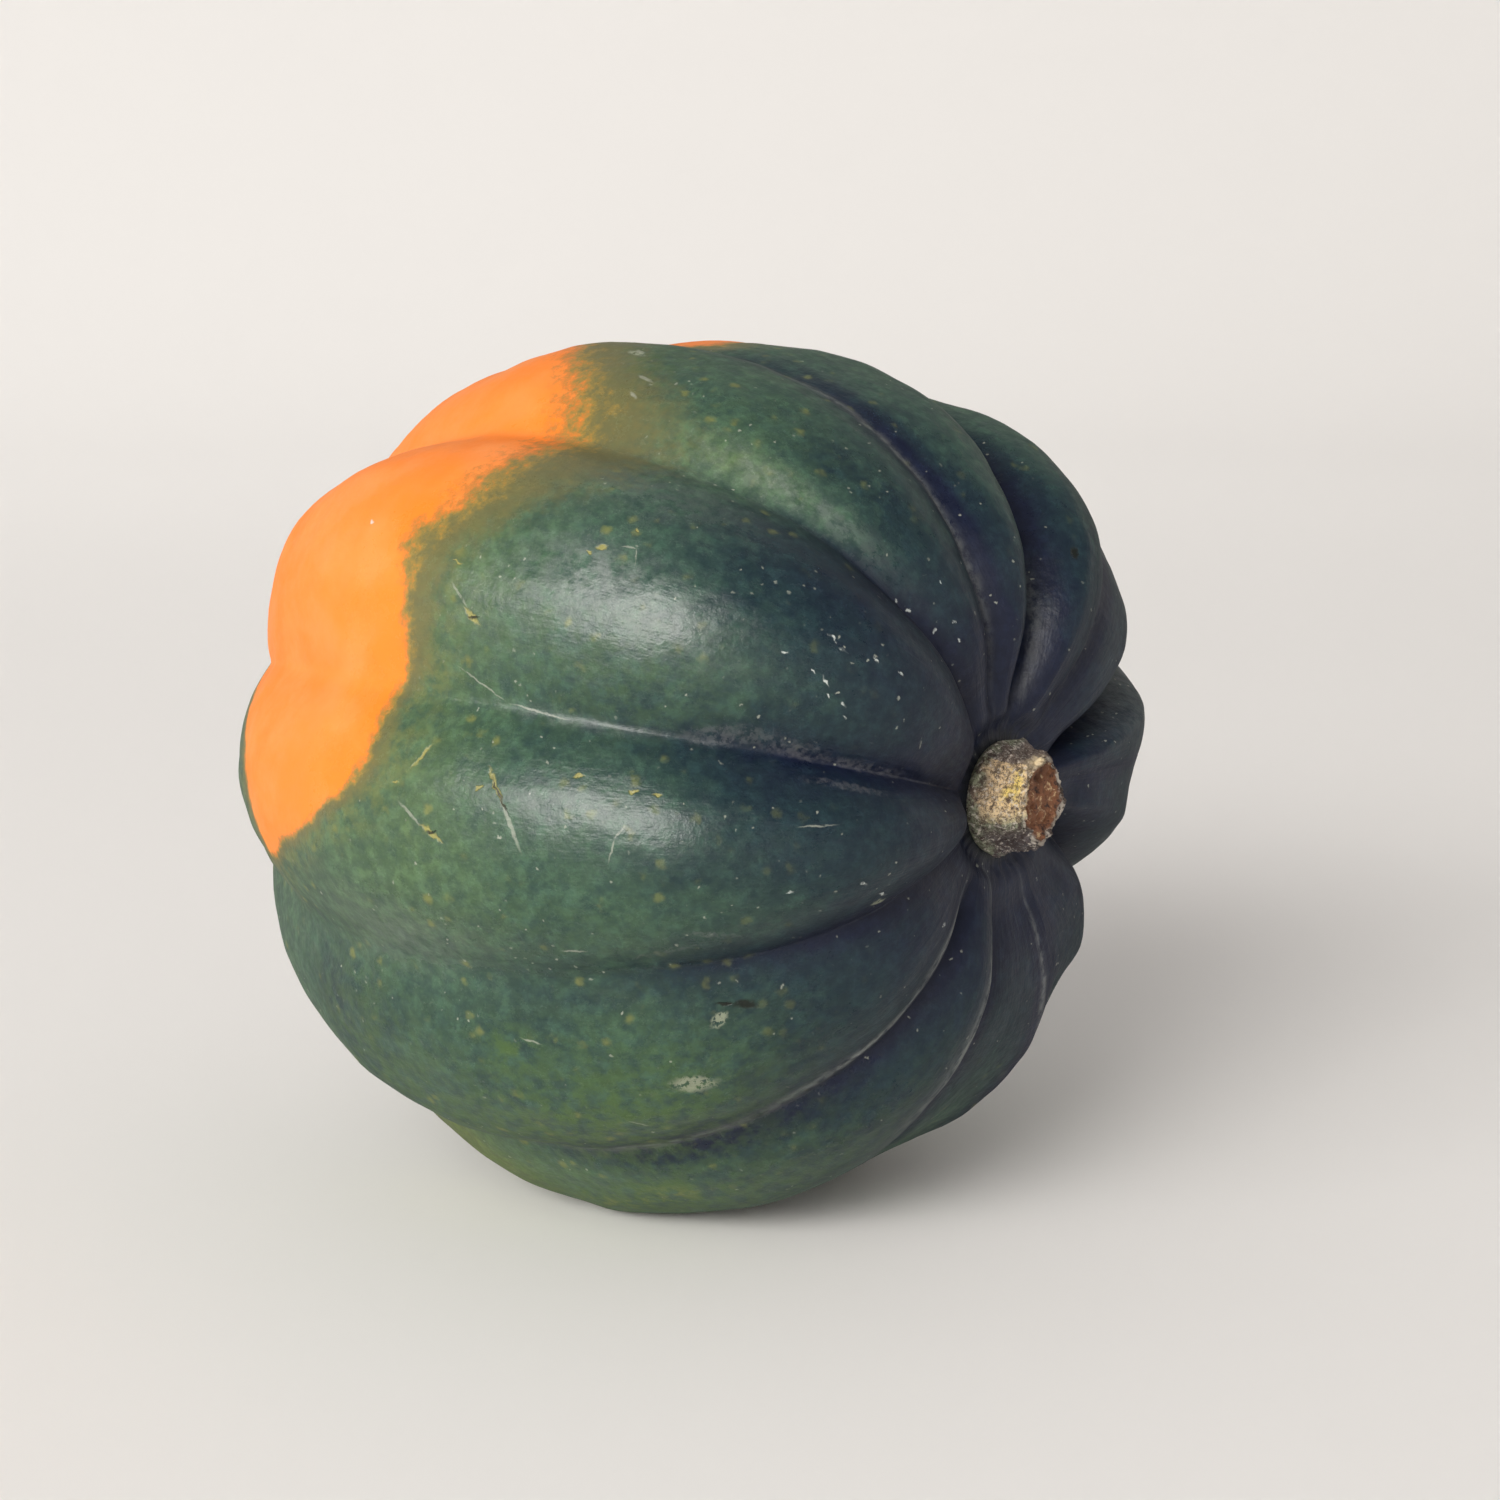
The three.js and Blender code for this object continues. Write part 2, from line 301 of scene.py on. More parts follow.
CHALK_MARKS = [
    (33.9, FRONT, -0.31, 33.4, FRONT, -0.34, 0.61),
    (31.0, FRONT, -0.57, 29.6, FRONT, -0.64, 0.41),
    (41.8, FRONT, -0.27, 41.3, FRONT, -0.27, 0.37),
    (20.6, LOW, -0.03, 20.0, LOW, -0.06, 0.45),
    (41.8, UPPER, -0.29, 41.4, UPPER, -0.31, 0.28),
    (40.4, UPPER, -0.33, 39.7, UPPER, -0.38, 0.41),
    (37.5, UPPER, -0.46, 36.9, UPPER, -0.49, 0.45),
    (36.8, UPPER, -0.57, 36.5, UPPER, -0.58, 0.33),
    (39.4, UPPER, -0.44, 39.0, UPPER, -0.46, 0.24),
    (35.9, UPPER, 0.01, 35.4, UPPER, -0.02, 0.41),
    (32.5, UPPER, 0.01, 31.9, UPPER, -0.01, 0.37),
    (41.4, UPPER, 0.02, 40.6, UPPER, -0.01, 0.33),
    (39.9, UPPER, -0.04, 38.9, UPPER, -0.06, 0.33),
    (45.3, UPPER, -0.25, 44.9, UPPER, -0.25, 0.28),
    (34.4, TOP, -0.96, 33.9, TOP, -0.97, 0.37),
    (32.0, TOP, -0.94, 31.5, TOP, -0.95, 0.33),
    (27.0, TOP, -0.84, 26.4, TOP, -0.86, 0.37),
    (26.4, TOP, -0.45, 26.1, TOP, -0.46, 0.33),
    (31.9, TOP, -0.25, 31.5, TOP, -0.25, 0.28),
    (23.5, TOP, -0.52, 23.1, TOP, -0.53, 0.33),
    (98.0, UPPER, -0.04, 97.3, UPPER, -0.05, 0.41),
]
SCAB_MARKS = [
    (58.0, LOW, -0.06, 55.0, LOW, -0.13, 3.2),
    (51.6, LOW, 0.47, 50.6, LOW, 0.50, 1.7),
    (31.0, FRONT, -0.72, 29.8, FRONT, -0.76, 1.2),
    (85.2, TOP, 0.22, 82.6, TOP, 0.16, 1.3),
]

# The stem's long section, from the middle of its foot to the middle of its cut: part of the way
# along, radius and place along X. The foot lies a little under the skin that it grew from.
STEM_RUN = np.array([
    (0.00, 0.0, 46.6), (0.12, 4.5, 46.6), (0.20, 6.9, 47.4), (0.24, 7.15, 48.4), (0.30, 6.75, 49.3),
    (0.40, 6.25, 50.6), (0.52, 5.95, 52.2), (0.62, 5.75, 53.6), (0.68, 5.55, 54.5),
    (0.72, 5.10, 54.9), (0.76, 4.55, 54.7), (0.81, 4.15, 54.0), (0.90, 2.4, 53.7),
    (1.00, 0.0, 53.6),
])
STEM_RINGS = 150
STEM_STEPS = 240
STEM_ROUNDING = 0.012  # how far on each side the long section is averaged, as a part of it

# The stem's facets: their number, their turn about the axis in degrees, and the distances from the
# axis of a facet's middle and of a corner against the section's radius. They begin and end along
# the section between these parts of it.
STEM_FACETS = 5
STEM_TURN = -18
FACET_MIDDLE, FACET_CORNER, CORNER_SOFTNESS = 0.94, 1.07, 0.02
FACETS_START, FACETS_END = (0.22, 0.34), (0.86, 0.78)

# Where along the section the rough side begins and ends, where the cut begins and its pits end,
# and the places of the rim and of the cut's lip.
SIDE_START, SIDE_END = (0.2, 0.3), (0.76, 0.70)
CUT_START, CUT_END = (0.72, 0.77), (1.0, 0.97)
RIM_AT, RIM_SPREAD = 0.70, 0.07
LIP_AT, LIP_SPREAD = 0.72, 0.05

# Roughness of the stem, as rows like the skin's lumps: long ridges, laid on a cylinder and drawn
# out along the stem, corky lumps, the ragged edge, laid on a ball and worn back, and the pits.
STEM_RIDGES = [(0.24, 2.2, 50, 11)]
STEM_LUMPS = [(0.28, 3.4, 50, 12), (0.16, 1.3, 80, 13), (0.09, 0.6, 90, 17)]
RIDGE_RADIUS, RIDGE_STRETCH = 6, 0.45
RAGGED_EDGE = [(0.45, 2.6, 60, 14)]
BALL_RADIUS, LEAST_RADIUS, EDGE_WORN = 6, 0.1, 0.45
CUT_PITS = [(0.35, 1.9, 60, 15), (0.14, 0.8, 80, 16)]

# Chips out of the rim and peaks along the cut's edge: height in mm, turn and spread in degrees.
RIM_CHIPS = [(0.5, 345, 26), (-0.7, 48, 16)]
EDGE_PEAKS = [(0.8, 104, 15), (0.35, 15, 38), (-0.30, 185, 45)]

# The hole in the cut: its middle in Y and Z, its spread and depth, and the spread of its darkness.
HOLE_Y, HOLE_Z, HOLE_SPREAD, HOLE_DEPTH = 0.5, 3.1, 0.9, 1.2
HOLE_DARK_SPREAD = 1.1

# How steeply the cut falls away towards the far side, from which Y, and where the slant sets in.
CUT_SLANT, CUT_SLANT_FROM = 0.16, -3
SLANT_START = (0.45, 0.72)

# Where the stem's colours lie, by turn and spread in degrees: the tan of the facet that faces the
# windows, partly painted light, the mossy streak, the painted shade of the underside, and the cream
# on the rim, with its place along the section.
FRONT_TURN, FRONT_FADE = 163, (42, 28)
MOSS_TURN, MOSS_SPREAD = 200, 11
SHADE_TURN, SHADE_SPREAD = 250, 50
CREAM_TURN, CREAM_SPREAD, CREAM_AT, CREAM_LENGTH = 106, 20, 0.69, 0.06


def bell(x, centre, spread):
    """1 at the centre, falling as exp(-(distance / spread)^2)."""
    return np.exp(-(((x - centre) / spread) ** 2))


def smooth_step(x, low, high):
    """0 below low, 1 above high, and the cubic 3t^2 - 2t^3 between."""
    part = np.clip((x - low) / (high - low), 0, 1)
    return part * part * (3 - 2 * part)


def section(u):
    """Long section over the crests at angle u from the stem end, as (radius, place along X).

    Two superellipse halves: reach = ((sin u / crest radius)^n + (|cos u| / half)^n)^(-1/n),
    less the stem hollow, a bell of the radius.
    """
    across, along = np.sin(u), np.cos(u)
    stem_half = along >= 0
    half = np.where(stem_half, STEM_HALF, BLOSSOM_HALF)
    power = np.where(stem_half, STEM_SQUARENESS, BLOSSOM_SQUARENESS)
    reach = ((across / CREST_RADIUS) ** power + (np.abs(along) / half) ** power) ** (-1 / power)
    radius = reach * across
    sunk = np.where(along > 0, HOLLOW_DEPTH * bell(radius, 0, HOLLOW_RADIUS), 0)
    return radius, reach * along - sunk


def section_normal(u):
    """Outward direction of the section at u: the step between two points close by, turned."""
    step = 1e-4
    radius_before, x_before = section(np.maximum(u - step, 0))
    radius_after, x_after = section(np.minimum(u + step, np.pi))
    d_radius, d_x = radius_after - radius_before, x_after - x_before
    length = np.hypot(d_radius, d_x)
    return -d_x / length, d_radius / length


def rib_columns():
    """The columns of the skin round the fruit: each one's rib and its place across that rib.

    The place runs from -1 at the groove before the rib to 1 at the groove after it. It is the mean
    of an even run and a sine run, so that columns crowd towards the grooves.
    """
    even = np.arange(STEPS_PER_RIB) * 2 / STEPS_PER_RIB - 1
    across = (even + np.sin(np.pi / 2 * even)) / 2
    return np.repeat(np.arange(len(RIBS)), STEPS_PER_RIB), np.tile(across, len(RIBS))


def turn_of(u, rib, across):
    """Degrees about the axis, from +Y over +Z, of a place across a rib.

    An even part of the way between the grooves on its two sides, each of which bends near the stem.
    """
    following = (rib + 1) % len(RIBS)
    bent = bell(np.degrees(u), 0, BEND_SPREAD)
    start = RIBS[rib, 0] + RIBS[rib, 1] * bent
    lap = np.where(RIBS[following, 0] > RIBS[rib, 0], 360, 0)
    end = RIBS[following, 0] - lap + RIBS[following, 1] * bent
    return (start + end) / 2 + (end - start) / 2 * across


def rib_offset(u, rib, across):
    """How far the skin stands off the long section.

    The crest's rise times (1 - valley), less the groove's depth times the valley, both faded out at
    the stem seat and at the blossom tip. The valley is across^2 with its sharp bottom rounded off:
    hypot(1 - across^2, rounding) takes the place of 1 - across^2. Rise and depth are bells of the
    place along the fruit.
    """
    degrees = np.degrees(u)
    nearer = np.where(across < 0, rib, (rib + 1) % len(RIBS))
    round_by = CRISP_FOLD + FOLD_ROUNDING[nearer] * np.sin(u) ** FOLD_ROUNDING_POWER
    bank = np.hypot(1 - across ** 2, round_by) - round_by
    valley = 1 - bank / (np.hypot(1, round_by) - round_by)
    groove = RIBS[nearer, 2]
    depth = WAIST_GROOVE * np.sqrt(np.sin(u)) + SHOULDER_GROOVE * bell(
        degrees, SHOULDER_GROOVE_AT, SHOULDER_GROOVE_SPREAD)
    rise = (RIBS[rib, 3] * bell(degrees, SHOULDER_AT, SHOULDER_SPREAD)
            + RIBS[rib, 4] * bell(degrees, WAIST_AT, WAIST_SPREAD))
    radius, _ = section(u)
    shown = np.where(
        u < np.pi / 2, smooth_step(radius, *STEM_FADE), smooth_step(radius, *BLOSSOM_FADE))
    return (rise * (1 - valley) - depth * groove * valley) * shown


def end_shift(x):
    """The bend of the fruit, in Y and Z: each end's shift times the square of x over its half."""
    part = np.where(x > 0, x / STEM_HALF, x / BLOSSOM_HALF) ** 2
    ends = zip(STEM_END_SHIFT, BLOSSOM_END_SHIFT)
    shift_y, shift_z = (np.where(x > 0, stem_end, blossom_end) for stem_end, blossom_end in ends)
    return shift_y * part, shift_z * part


def press_flat(z):
    """A soft maximum of a height and the underside's level: soft * log(1 + exp(over / soft))."""
    over = (z + UNDERSIDE_DEPTH) / UNDERSIDE_SOFTNESS
    return UNDERSIDE_SOFTNESS * np.logaddexp(0, over) - UNDERSIDE_DEPTH


def skin(u, rib, across, relief=0):
    """Points of the skin, in mm from the middle of the fruit's axis.

    The section's point is moved out along the section's normal by the rib's offset and the relief,
    turned about the axis, shifted by the fruit's bend and pressed flat underneath.
    """
    turn = np.radians(turn_of(u, rib, across) + RIB_TWIST * np.cos(u))
    radius, x = section(u)
    out_radius, out_x = section_normal(u)
    offset = rib_offset(u, rib, across) + relief
    away = np.maximum(radius + offset * out_radius, 0)
    along = x + offset * out_x
    shift_y, shift_z = end_shift(along)
    y = away * np.cos(turn) + shift_y
    z = away * np.sin(turn) + shift_z
    return np.stack([along, y, press_flat(z)], axis=-1)


def waves(points, length, count, seed):
    """Soft lumps, mostly from -1 to 1: cosine waves of one length in random directions, summed and
    divided by twice the root of half their number."""
    random = np.random.default_rng(seed)
    direction = random.normal(size=(count, 3))
    direction *= 2 * np.pi / length / np.linalg.norm(direction, axis=1, keepdims=True)
    phase = random.uniform(0, 2 * np.pi, count)
    total = np.zeros(points.shape[:-1])
    for way, start in zip(direction, phase):
        total += np.cos(points @ way + start)
    return total / math.sqrt(count / 2) / 2


def lumps(points, kinds):
    """Several sizes of waves together, each times its height in mm."""
    return sum(height * waves(points, *kind) for height, *kind in kinds)


def turn_gap(turn, middle):
    """Degrees round the axis from one angle to another, the short way, never negative."""
    return np.abs(np.mod(turn - middle + 180, 360) - 180)


def bumps_round(turn, kinds):
    """Bells of the angle about the axis together, each times its height in mm."""
    return sum(height * bell(turn_gap(turn, at), 0, spread) for height, at, spread in kinds)


# ---- meshes

def new_piece(name, points, faces):
    """A smooth mesh of those points and faces, as an object at the origin."""
    mesh = bpy.data.meshes.new(name)
    mesh.from_pydata(points.tolist(), [], faces)
    mesh.shade_smooth()
    mesh.update()
    piece = bpy.data.objects.new(name, mesh)
    bpy.context.collection.objects.link(piece)
    return piece


def closed_rings(name, rings):
    """A closed mesh over a stack of rings of points in metres. The first and last ring are one
    point each.

    Point (ring, step) joins (ring + 1, step) and (ring, step + 1), and each end is a fan round its
    one point.
    """
    count = rings.shape[1]
    body = rings[1:-1].reshape(-1, 3)
    points = np.concatenate([rings[0, :1], body, rings[-1, :1]])
    index = 1 + np.arange(len(body)).reshape(-1, count)
    beside = np.roll(index, -1, axis=1)
    quads = np.stack([index[:-1], beside[:-1], beside[1:], index[1:]], axis=-1).reshape(-1, 4)
    first = np.stack([np.zeros(count, int), beside[0], index[0]], axis=-1)
    last = np.stack([np.full(count, len(points) - 1), index[-1], beside[-1]], axis=-1)
    return new_piece(name, points, quads.tolist() + first.tolist() + last.tolist())


def store(piece, name, rings, kind="FLOAT"):
    """Keeps a number or a vector for every point of a closed_rings mesh, as a named attribute."""
    body = rings[1:-1].reshape(-1, *rings.shape[2:])
    values = np.concatenate([rings[0, :1], body, rings[-1, :1]])
    attribute = piece.data.attributes.new(name, kind, "POINT")
    key = "value" if kind == "FLOAT" else "vector"
    attribute.data.foreach_set(key, values.astype(np.float32).ravel())


def store_all(piece, shape, values):
    """Keeps several numbers for every point, each spread over the whole grid of rings."""
    for name, rings in values.items():
        store(piece, name, np.broadcast_to(rings, shape))


def soft_patches(turn, degrees, patches):
    """The sum of the patches, each a bell along the section times a bell about the axis."""
    total = np.zeros(turn.shape)
    for at, rib, across, length, width, amount in patches:
        middle = turn_of(np.radians(at), rib, across)
        total += amount * bell(degrees, at, length) * bell(turn_gap(turn, middle), 0, width)
    return total


def patch_distance(turn, degrees):
    """Signed distance in mm inside the ground patch: the nearer of its two edges along the section,
    less how far round the fruit the place is beyond the patch's two sides."""
    around = np.mod(turn, 360)
    to_stem_edge = degrees - np.interp(around, *PATCH_STEM_EDGE.T)
    to_blossom_edge = np.interp(around, *PATCH_BLOSSOM_EDGE.T) - degrees
    first, last = PATCH_STEM_EDGE[0, 0], PATCH_STEM_EDGE[-1, 0]
    beyond = np.maximum(turn_gap(turn, (first + last) / 2) - (last - first) / 2, 0)
    return (np.minimum(to_stem_edge, to_blossom_edge) - beyond) * MM_PER_DEGREE


def rind_relief(u, turn, plain):
    """Small ups and downs of the skin in mm, on top of its ribs.

    Soft lumps of three sizes, which fade out at the two ends. A crease round the foot of the stem,
    a bell of the distance from the axis, with fine radial pleats. A ring and a low button at the
    blossom scar. A few shallow dents, each a bell of the distance from its middle.
    """
    radius, _ = section(u)
    stem_side = np.cos(u) > 0
    angle = np.radians(turn)
    pleats = PLEAT_DEPTH * np.cos(angle * PLEATS + PLEAT_WANDER * np.sin(angle * PLEAT_WANDERS))
    crease = (pleats - CREASE_DEPTH) * bell(radius, CREASE_RADIUS, CREASE_SPREAD)
    scar = sum(height * smooth_step(radius, outer, inner)
               for outer, inner, height in (SCAR_RING, SCAR_BUTTON))
    relief = lumps(plain, SKIN_LUMPS) * smooth_step(np.sin(u), *LUMPS_FADE) - SKIN_INSET
    relief = relief + np.where(stem_side, crease, scar)
    for degrees, rib, across, width, depth in DENTS:
        middle = skin(np.radians(degrees), rib, across)
        relief = relief - depth * bell(np.linalg.norm(plain - middle, axis=-1), 0, width)
    return relief


def make_rind():
    """The fruit's skin, a grid of rings along the section and columns across the ribs, and where
    the middle of the fruit's axis is in metres."""
    u = np.pi * (np.linspace(0, 1, RINGS + 1)[:, None]) ** RING_CROWDING
    rib, across = rib_columns()
    turn = turn_of(u, rib, across)
    plain = skin(u, rib, across)
    points = skin(u, rib, across, rind_relief(u, turn, plain))
    degrees = np.broadcast_to(np.degrees(u), turn.shape)
    low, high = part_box("fruit")
    middle = (plain.reshape(-1, 3).min(axis=0) + plain.reshape(-1, 3).max(axis=0)) / 2
    place = (np.array(low) + np.array(high)) / 2 - middle * MM
    rind = closed_rings("rind", points * MM + place)
    on_top = bell(np.mod(turn, 360), PATCH_BLUR_TURN, PATCH_BLUR_SPREAD)
    store_all(rind, turn.shape, {
        "along": degrees,
        "across": np.abs(across),
        "patch": patch_distance(turn, degrees),
        "blur": PATCH_BLUR + PATCH_BLUR_TOP * on_top,
        "tone": soft_patches(turn, degrees, TONES_AND_SHADING),
        "wax_and_highlight": soft_patches(turn, degrees, WAX_AND_HIGHLIGHTS),
        "fresh": soft_patches(turn, degrees, FRESHES),
    })
    angle = np.radians(turn)
    grain = np.stack([CREST_RADIUS * np.cos(angle), CREST_RADIUS * np.sin(angle),
                      degrees * MM_PER_DEGREE], axis=-1)
    store(rind, "grain", grain, "FLOAT_VECTOR")
    return rind, place


def stem_radius_part(turn, part):
    """The stem's radius against a circle's: a pentagon with rounded corners.

    A facet's distance is 1 / cos of the angle from its middle, held to a soft limit at the corners.
    It shows on the side and fades out on the foot and on the cut face.
    """
    pitch = 360 / STEM_FACETS
    from_facet = np.mod(turn - STEM_TURN, pitch) - pitch / 2
    facet = FACET_MIDDLE / np.cos(np.radians(from_facet))
    short_of_corner = (FACET_CORNER - facet) / CORNER_SOFTNESS
    facet = FACET_CORNER - CORNER_SOFTNESS * np.logaddexp(0, short_of_corner)
    shown = smooth_step(part, *FACETS_START) * smooth_step(part, *FACETS_END)
    return 1 + (facet - 1) * shown


def make_stem(place):
    """The cut stem: its long section turned about the axis, with facets, corky lumps and chips on
    its side, and a cut that slants, with a ragged edge, pits and a hole."""
    part = np.linspace(0, 1, STEM_RINGS + 1)[:, None]
    turn = -np.arange(STEM_STEPS)[None, :] * 360 / STEM_STEPS
    near = [np.clip(part + step, 0, 1) for step in (-STEM_ROUNDING, 0, STEM_ROUNDING)]
    radius, x = (sum(np.interp(p, STEM_RUN[:, 0], run) for p in near) / len(near)
                 for run in STEM_RUN.T[1:])
    radius = radius * stem_radius_part(turn, part)
    x = np.broadcast_to(x, radius.shape)
    angle = np.radians(turn)
    cylinder = np.broadcast_arrays(
        x * RIDGE_STRETCH, RIDGE_RADIUS * np.cos(angle), RIDGE_RADIUS * np.sin(angle))
    body = np.stack([x, radius * np.cos(angle), radius * np.sin(angle)], axis=-1)
    side = smooth_step(part, *SIDE_START) * smooth_step(part, *SIDE_END)
    cut = smooth_step(part, *CUT_START)
    rough = lumps(np.stack(cylinder, axis=-1), STEM_RIDGES) + lumps(body, STEM_LUMPS)
    rough += bell(part, RIM_AT, RIM_SPREAD) * bumps_round(turn, RIM_CHIPS)
    radius = radius + side * rough
    outward = BALL_RADIUS * body / np.maximum(radius, LEAST_RADIUS)[..., None]
    ragged = lumps(outward, RAGGED_EDGE) - EDGE_WORN + bumps_round(turn, EDGE_PEAKS)
    from_hole = np.hypot(body[..., 1] - HOLE_Y, body[..., 2] - HOLE_Z)
    sunk = lumps(body, CUT_PITS) - HOLE_DEPTH * bell(from_hole, 0, HOLE_SPREAD)
    x = x + bell(part, LIP_AT, LIP_SPREAD) * ragged + cut * sunk * smooth_step(part, *CUT_END)
    x = x - CUT_SLANT * (body[..., 1] - CUT_SLANT_FROM) * smooth_step(part, *SLANT_START)
    shift_y, shift_z = end_shift(x)
    y = radius * np.cos(angle) + shift_y
    z = radius * np.sin(angle) + shift_z
    stem = closed_rings("stem_cork", np.stack([x, y, z], axis=-1) * MM + place)
    store_all(stem, x.shape, {
        "cut": cut,
        "part": part,
        "lit_front": smooth_step(turn_gap(turn, FRONT_TURN), *FRONT_FADE),
        "under": bell(turn_gap(turn, MOSS_TURN), 0, MOSS_SPREAD),
        "hole": cut * bell(from_hole, 0, HOLE_DARK_SPREAD),
        "raised": (bell(turn_gap(turn, CREAM_TURN), 0, CREAM_SPREAD)
                   * bell(part, CREAM_AT, CREAM_LENGTH)),
        "low": bell(turn_gap(turn, SHADE_TURN), 0, SHADE_SPREAD),
    })
    return stem


def mark_frame(mark, place):
    """A mark's own frame: its middle, its turn and its half sizes, in metres.

    The long way runs from its start to its end. The depth runs away from the middle of the fruit,
    made square to the long way, and the width runs square to both.
    """
    ends, width = (mark[:3], mark[3:6]), mark[6]
    first, last = (skin(np.radians(degrees), rib, across) for degrees, rib, across in ends)
    middle = (first + last) / 2
    length = np.linalg.norm(last - first)
    long_way = (last - first) / length
    outward = middle - (0, *end_shift(middle[0]))
    outward = outward - long_way * (outward @ long_way)
    outward = outward / np.linalg.norm(outward)
    wide_way = np.cross(outward, long_way)
    turned = Matrix(np.stack([long_way, wide_way, outward], axis=1).tolist()).to_euler()
    halves = (length / 2 + width / 2, width / 2, MARK_DEPTH)
    return tuple(middle * MM + place), tuple(turned), tuple(half * MM for half in halves)


# ---- materials

def opaque(colour):
    """A named colour with full alpha. A node's output stays as it is."""
    return (*colour, 1) if isinstance(colour, tuple) else colour


class Recipe:
    """A material's nodes, added one at a time. Every helper gives back the output that it makes."""

    def __init__(self, name):
        self.material = bpy.data.materials.new(name)
        self.material.use_nodes = True
        self.tree = self.material.node_tree
        self.shader = self.tree.nodes["Principled BSDF"]

    def node(self, kind, inputs=(), **settings):
        """Adds a node, sets its options, and sets or joins its inputs, given as (socket, value)."""
        made = self.tree.nodes.new("ShaderNode" + kind)
        for key, value in settings.items():
            setattr(made, key, value)
        for socket, value in inputs:
            if isinstance(value, bpy.types.NodeSocket):
                self.tree.links.new(value, made.inputs[socket])
            else:
                made.inputs[socket].default_value = value
        return made

    def attribute(self, name, output="Fac"):
        """A number that the mesh keeps for every point, or a vector."""
        return self.node("Attribute", attribute_name=name).outputs[output]

    def place(self):
        """The piece's own place, in metres from its origin."""
        return self.node("TexCoord").outputs["Object"]

    def noise(self, vector, size, detail=2.0, rough=0.5):
        """Cloudy noise from 0 to 1 with features of about that size."""
        made = self.node("TexNoise", [("Vector", vector), ("Scale", 1 / size), ("Detail", detail),
                                      ("Roughness", rough)])
        return made.outputs["Fac"]

    def spots(self, vector, size):
        """Distance to the nearest of many scattered points, in parts of their spacing."""
        made = self.node("TexVoronoi", [("Vector", vector), ("Scale", 1 / size)])
        return made.outputs["Distance"]

    def sums(self, operation, *numbers):
        """Arithmetic on numbers."""
        return self.node("Math", enumerate(numbers), operation=operation).outputs[0]

    def line(self, value, slope, start):
        """The value times the slope, plus the start."""
        return self.sums("MULTIPLY_ADD", value, slope, start)

    def plus(self, first, *others):
        """The sum of all of them."""
        for other in others:
            first = self.sums("ADD", first, other)
        return first

    def times(self, first, *others):
        """The product of all of them."""
        for other in others:
            first = self.sums("MULTIPLY", first, other)
        return first

    def rise(self, value, low, high, start=0.0, end=1.0):
        """Goes smoothly from start to end while the value goes from low to high."""
        made = self.node("MapRange", [("Value", value), ("From Min", low), ("From Max", high),
                                      ("To Min", start), ("To Max", end)],
                         interpolation_type="SMOOTHSTEP")
        return made.outputs["Result"]

    def window(self, value, low, full_from, full_to, high):
        """1 between the two inner values, falling smoothly to 0 at the outer two."""
        return self.times(self.rise(value, low, full_from),
                          self.rise(value, full_to, high, 1.0, 0.0))

    def blend(self, under, over, *amounts, way="MIX"):
        """One colour over another, by an amount from 0 to 1, or by the product of several."""
        sockets = [(0, self.times(*amounts)), (6, opaque(under)), (7, opaque(over))]
        return self.node("Mix", sockets, data_type="RGBA", blend_type=way).outputs[2]

    def steps(self, value, stops):
        """A colour band: each stop is (position, colour)."""
        made = self.node("ValToRGB", [(0, value)])
        elements = made.color_ramp.elements
        while len(elements) < len(stops):
            elements.new(0.5)
        for element, (position, colour) in zip(elements, stops):
            element.position = position
            element.color = opaque(colour)
        return made.outputs["Color"]

    def vectors(self, operation, *inputs):
        """Arithmetic on vectors."""
        return self.node("VectorMath", inputs, operation=operation).outputs

    def shift(self, vector, noise, amount):
        """The vector moved by up to that amount, by a coloured noise."""
        centred = self.vectors("SUBTRACT", (0, noise), (1, (0.5, 0.5, 0.5)))[0]
        scaled = self.vectors("SCALE", (0, centred), ("Scale", amount))[0]
        return self.vectors("ADD", (0, vector), (1, scaled))[0]

    def reach(self, vector, where, turned, halves):
        """How far a place is from the middle of a lens-shaped mark, 1 at its edge: the length of
        the place in the mark's own frame, against its half length, half width and half depth."""
        local = self.node("Mapping", [("Vector", vector), ("Location", where), ("Rotation", turned),
                                      ("Scale", halves)], vector_type="TEXTURE")
        return self.vectors("LENGTH", (0, local.outputs[0]))["Value"]

    def finish(self, colour, roughness, height, bump):
        """Joins the colour, the roughness and the surface's height, in metres, to the shader."""
        self.tree.links.new(colour, self.shader.inputs["Base Color"])
        self.tree.links.new(roughness, self.shader.inputs["Roughness"])
        bumped = self.node("Bump", [("Strength", bump), ("Distance", 1.0), ("Height", height)])
        self.tree.links.new(bumped.outputs[0], self.shader.inputs["Normal"])
        return self.material


# ---- the rind, in linear colours

NAVY = (0.0055, 0.0085, 0.024)
DEEP_GREEN = (0.011, 0.025, 0.031)
MID_GREEN = (0.035, 0.070, 0.050)
SPRING_GREEN = (0.060, 0.102, 0.058)
RIPE_GREEN = (0.098, 0.125, 0.040)
YELLOW_GREEN = (0.16, 0.17, 0.050)
OLIVE = (0.13, 0.115, 0.045)
MUSTARD = (0.27, 0.18, 0.040)
OCHRE = (0.50, 0.165, 0.030)
ORANGE = (0.80, 0.200, 0.018)
APRICOT = (0.80, 0.272, 0.074)
GRASS_GREEN = (0.062, 0.110, 0.030)
WAX_AND_HIGHLIGHT_GREY = (0.32, 0.34, 0.32)
PALE = (0.34, 0.35, 0.29)
GOLD = (0.30, 0.27, 0.085)
PIT = (0.008, 0.009, 0.006)
CORK_GREY = (0.16, 0.16, 0.165)
CHALK = (0.50, 0.53, 0.50)
SCAB = (0.25, 0.27, 0.19)
SCAR_TAN = (0.34, 0.25, 0.14)
